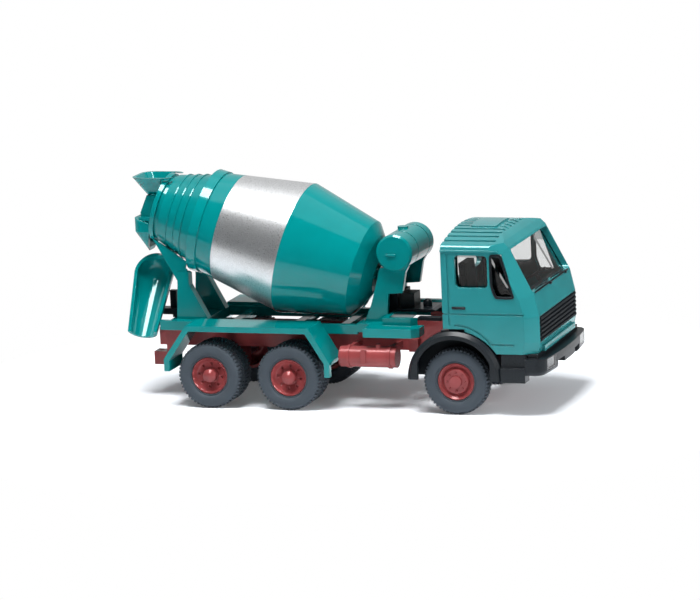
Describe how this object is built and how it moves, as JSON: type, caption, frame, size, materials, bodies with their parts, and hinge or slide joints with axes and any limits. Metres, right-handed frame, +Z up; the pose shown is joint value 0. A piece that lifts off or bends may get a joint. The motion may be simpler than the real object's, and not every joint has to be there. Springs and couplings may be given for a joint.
{
  "type": "scale model of a concrete mixer truck",
  "caption": "Plastic scale model of a concrete mixer truck with a turning drum, rolling wheels, a water tank behind the cab and a swivelling chute.",
  "frame": {"origin": "bottom centre of the bounding box, on the floor under the wheels", "axes": "+X towards the cab's front, +Y to the truck's left, +Z up"},
  "size_m": [0.0802, 0.029, 0.0403],
  "materials": {
    "teal_plastic": "moulded teal plastic, glossy",
    "silver_plastic": "silver metallic plastic",
    "oxide_red_plastic": "moulded oxide red plastic, satin",
    "tyre_plastic": "soft dark grey blue, matt",
    "black_plastic": "moulded black plastic, satin",
    "clear_glazing": "clear moulded plastic",
    "lamp_clear": "clear moulded plastic",
    "axle_steel": "plain steel pin"
  },
  "bodies": {
    "root": {"chassis_frame": "oxide_red_plastic", "tow_coupling": "oxide_red_plastic", "fuel_tank": "oxide_red_plastic", "battery_box": "oxide_red_plastic", "cab_shell": "teal_plastic", "cab_glazing": "clear_glazing", "cab_interior": "black_plastic", "steering_wheel": "black_plastic", "grille": "black_plastic", "bumper": "black_plastic", "headlamps": "lamp_clear", "front_mudguard_left": "black_plastic", "front_mudguard_right": "black_plastic", "mixer_subframe": "teal_plastic", "rear_mudguard_left": "teal_plastic", "rear_mudguard_right": "teal_plastic", "front_pedestal": "teal_plastic", "drum_gearbox": "black_plastic", "drive_unit": "black_plastic", "water_tank": "teal_plastic", "rear_pedestal": "teal_plastic", "catch_funnel": "teal_plastic", "hopper": "teal_plastic", "chute_bracket": "black_plastic"},
    "drum": {"drum_front_cone": "teal_plastic", "drum_band": "silver_plastic", "drum_rear_cone": "teal_plastic"},
    "chute": {"chute": "teal_plastic"},
    "wheelset_front": {"axle_front": "axle_steel", "rim_front_left": "oxide_red_plastic", "rim_front_right": "oxide_red_plastic", "tyre_front_left": "tyre_plastic", "tyre_front_right": "tyre_plastic"},
    "wheelset_middle": {"axle_middle": "axle_steel", "rim_middle_left": "oxide_red_plastic", "rim_middle_right": "oxide_red_plastic", "tyre_middle_left": "tyre_plastic", "tyre_middle_right": "tyre_plastic"},
    "wheelset_rear": {"axle_rear": "axle_steel", "rim_rear_left": "oxide_red_plastic", "rim_rear_right": "oxide_red_plastic", "tyre_rear_left": "tyre_plastic", "tyre_rear_right": "tyre_plastic"}
  },
  "joints": [
    {"name": "front_wheels_turn", "type": "hinge", "parent": "root", "child": "wheelset_front", "pos_m": [0.0232, 0, 0.00585], "axis": [0, 1, 0], "continuous": true},
    {"name": "middle_wheels_turn", "type": "hinge", "parent": "root", "child": "wheelset_middle", "pos_m": [-0.0073, 0, 0.00585], "axis": [0, 1, 0], "continuous": true},
    {"name": "rear_wheels_turn", "type": "hinge", "parent": "root", "child": "wheelset_rear", "pos_m": [-0.022, 0, 0.00585], "axis": [0, 1, 0], "continuous": true},
    {"name": "drum_turn", "type": "hinge", "parent": "root", "child": "drum", "pos_m": [-0.00926, 0, 0.0264], "axis": [-0.9613, 0, 0.2756], "continuous": true},
    {"name": "chute_swivel", "type": "hinge", "parent": "root", "child": "chute", "pos_m": [-0.0364, 0, 0.0152], "axis": [0, 0, -1], "range_deg": [0, 180]}
  ]
}
